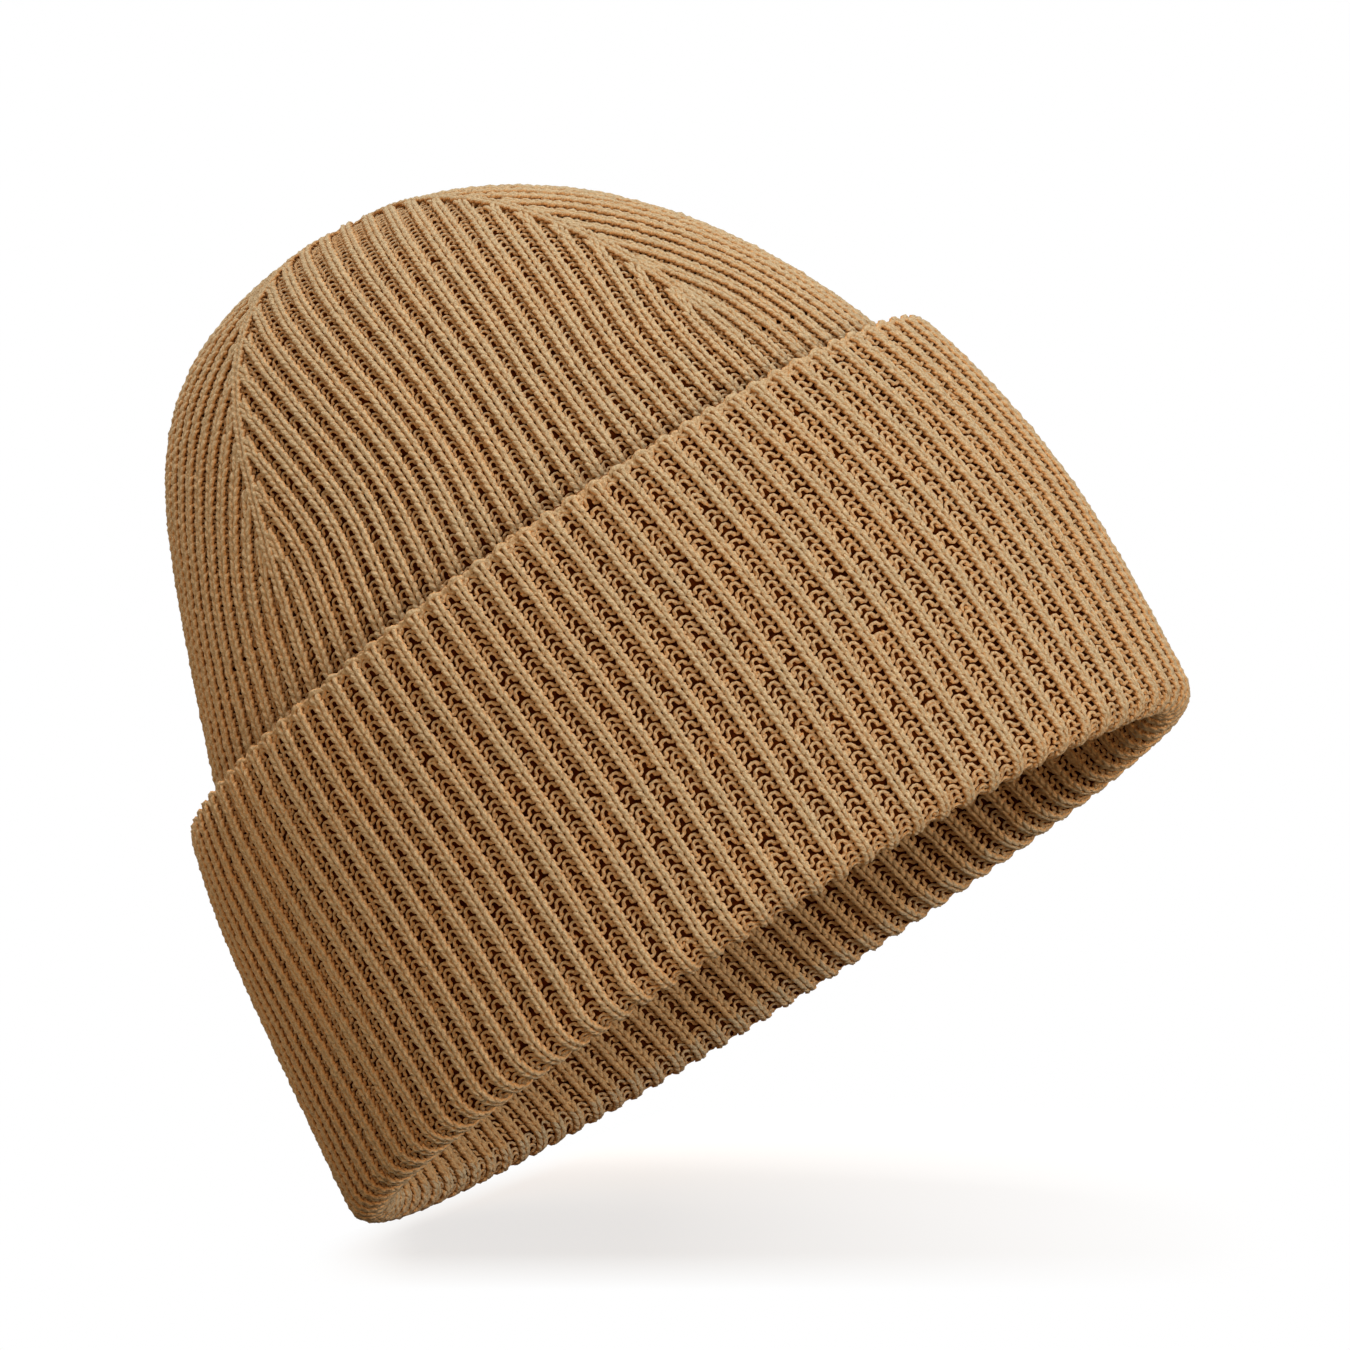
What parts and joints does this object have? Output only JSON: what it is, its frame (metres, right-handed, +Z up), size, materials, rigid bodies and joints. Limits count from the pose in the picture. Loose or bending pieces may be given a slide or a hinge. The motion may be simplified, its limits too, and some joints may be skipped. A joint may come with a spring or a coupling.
{
  "type": "rib-knit cuffed beanie",
  "caption": "Close-fitting rib-knit beanie with a deep turned-up cuff and a rounded crown of shaped sections, worn for warmth.",
  "frame": {"origin": "on the surface that the hat stands on, under the middle of its length and width", "axes": "+Z up to the crown, +X to the back of the head, -X to the wearer's front, -Y to the wearer's left, which the picture shows"},
  "size_m": [0.2146, 0.1672, 0.187],
  "materials": {
    "rib_knit": "matt chunky rib knit in camel brown wool-like yarn",
    "seam_yarn": "matt plain-stitch wales and linking seam in the same camel brown yarn"
  },
  "bodies": {
    "root": {"turn_up_fold": "rib_knit", "head_band": "rib_knit", "back_seam": "seam_yarn", "cuff_band": "rib_knit", "cuff_back_seam": "seam_yarn", "cuff_hem": "rib_knit", "crown_gore_back": "rib_knit", "crown_gore_right": "rib_knit", "crown_gore_front": "rib_knit", "crown_gore_left": "rib_knit", "crown_dart_back_right": "seam_yarn", "crown_dart_front_right": "seam_yarn", "crown_dart_front_left": "seam_yarn", "crown_dart_back_left": "seam_yarn", "crown_tie": "seam_yarn"}
  },
  "joints": []
}
